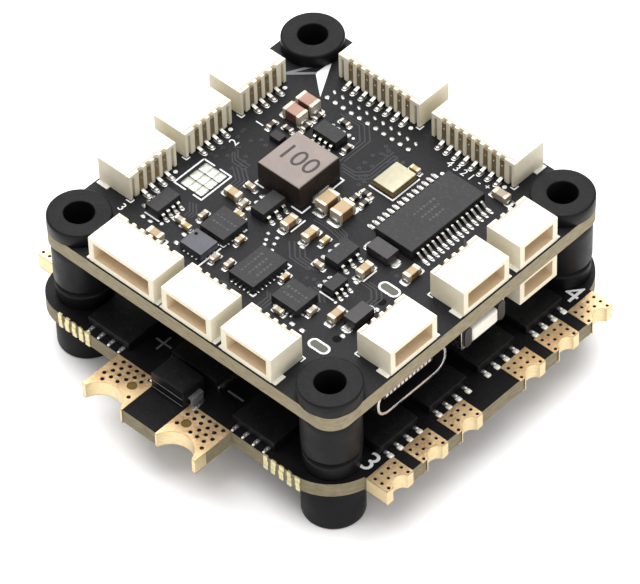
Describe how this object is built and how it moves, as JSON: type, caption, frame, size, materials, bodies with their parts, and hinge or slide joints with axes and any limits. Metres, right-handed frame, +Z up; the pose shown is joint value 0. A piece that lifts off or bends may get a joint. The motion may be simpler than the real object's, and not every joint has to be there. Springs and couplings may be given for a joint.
{
  "type": "flight controller board",
  "caption": "Flight controller board on rubber grommets over a motor power board, with side-entry sockets, USB port, boot button, battery pads and motor pads.",
  "frame": {"origin": "centre of the bounding box, on the plane of the lower grommets' feet", "axes": "+Z up out of the upper board, +Y forward, +X to the right; the battery tab is at the rear"},
  "size_m": [0.043, 0.0426, 0.0178],
  "materials": {
    "soldermask": "semi-gloss solder resist over glass-epoxy laminate",
    "rubber": "satin moulded silicone rubber",
    "ivory_plastic": "satin nylon",
    "gold_plating": "gold-flashed copper, satin",
    "bright_metal": "tin-plated steel",
    "black_epoxy": "matt moulded epoxy with a fine texture",
    "sensor_lid": "matt blue-grey",
    "iron_powder": "pressed iron powder, painted top",
    "crystal_lid": "pale gold lid",
    "plunger_plastic": "satin white plastic",
    "contact_plastic": "black liquid-crystal polymer"
  },
  "bodies": {
    "power_stack": {"power_board": "soldermask", "power_grommet_front_left": "rubber", "power_grommet_front_right": "rubber", "power_grommet_rear_left": "rubber", "power_grommet_rear_right": "rubber", "battery_pad_positive": "gold_plating", "battery_pad_negative": "gold_plating", "motor_pad_left_1": "gold_plating", "motor_pad_left_2": "gold_plating", "motor_pad_left_3": "gold_plating", "motor_pad_left_4": "gold_plating", "motor_pad_left_5": "gold_plating", "motor_pad_left_6": "gold_plating", "motor_pad_right_1": "gold_plating", "motor_pad_right_2": "gold_plating", "motor_pad_right_3": "gold_plating", "motor_pad_right_4": "gold_plating", "motor_pad_right_5": "gold_plating", "motor_pad_right_6": "gold_plating", "power_signal_socket": "ivory_plastic", "mosfet_right_1": "black_epoxy", "mosfet_right_2": "black_epoxy", "mosfet_right_3": "black_epoxy", "mosfet_right_4": "black_epoxy", "mosfet_rear_1": "black_epoxy", "mosfet_rear_2": "black_epoxy", "surge_diode": "black_epoxy", "current_shunt": "black_epoxy"},
    "flight_controller": {"controller_board": "soldermask", "controller_grommet_front_left": "rubber", "controller_grommet_front_right": "rubber", "controller_grommet_rear_left": "rubber", "controller_grommet_rear_right": "rubber", "socket_left_1": "ivory_plastic", "socket_left_2": "ivory_plastic", "socket_left_3": "ivory_plastic", "socket_front_1": "ivory_plastic", "socket_front_2": "ivory_plastic", "socket_rear_1": "ivory_plastic", "socket_rear_2": "ivory_plastic", "socket_rear_3": "ivory_plastic", "socket_right_1": "ivory_plastic", "socket_right_2": "ivory_plastic", "socket_right_3": "ivory_plastic", "socket_underside": "ivory_plastic", "usb_shell": "bright_metal", "usb_tongue": "contact_plastic", "boot_button_housing": "bright_metal", "power_inductor": "iron_powder", "osd_chip": "black_epoxy", "osd_crystal": "crystal_lid", "gyro_chip": "sensor_lid", "flash_chip": "black_epoxy", "receiver_chip": "black_epoxy", "switch_chip": "black_epoxy", "bus_transceiver": "black_epoxy", "regulator_chip": "black_epoxy", "processor_chip": "black_epoxy"},
    "boot_plunger": {"boot_button_plunger": "plunger_plastic"}
  },
  "joints": [
    {"name": "controller_lift", "type": "slide", "parent": "power_stack", "child": "flight_controller", "axis": [0, 0, 1], "range_m": [0, 0.015]},
    {"name": "boot_press", "type": "slide", "parent": "flight_controller", "child": "boot_plunger", "axis": [-1, 0, 0], "range_m": [0, 0.00025], "stiffness_N_per_m": 400}
  ]
}
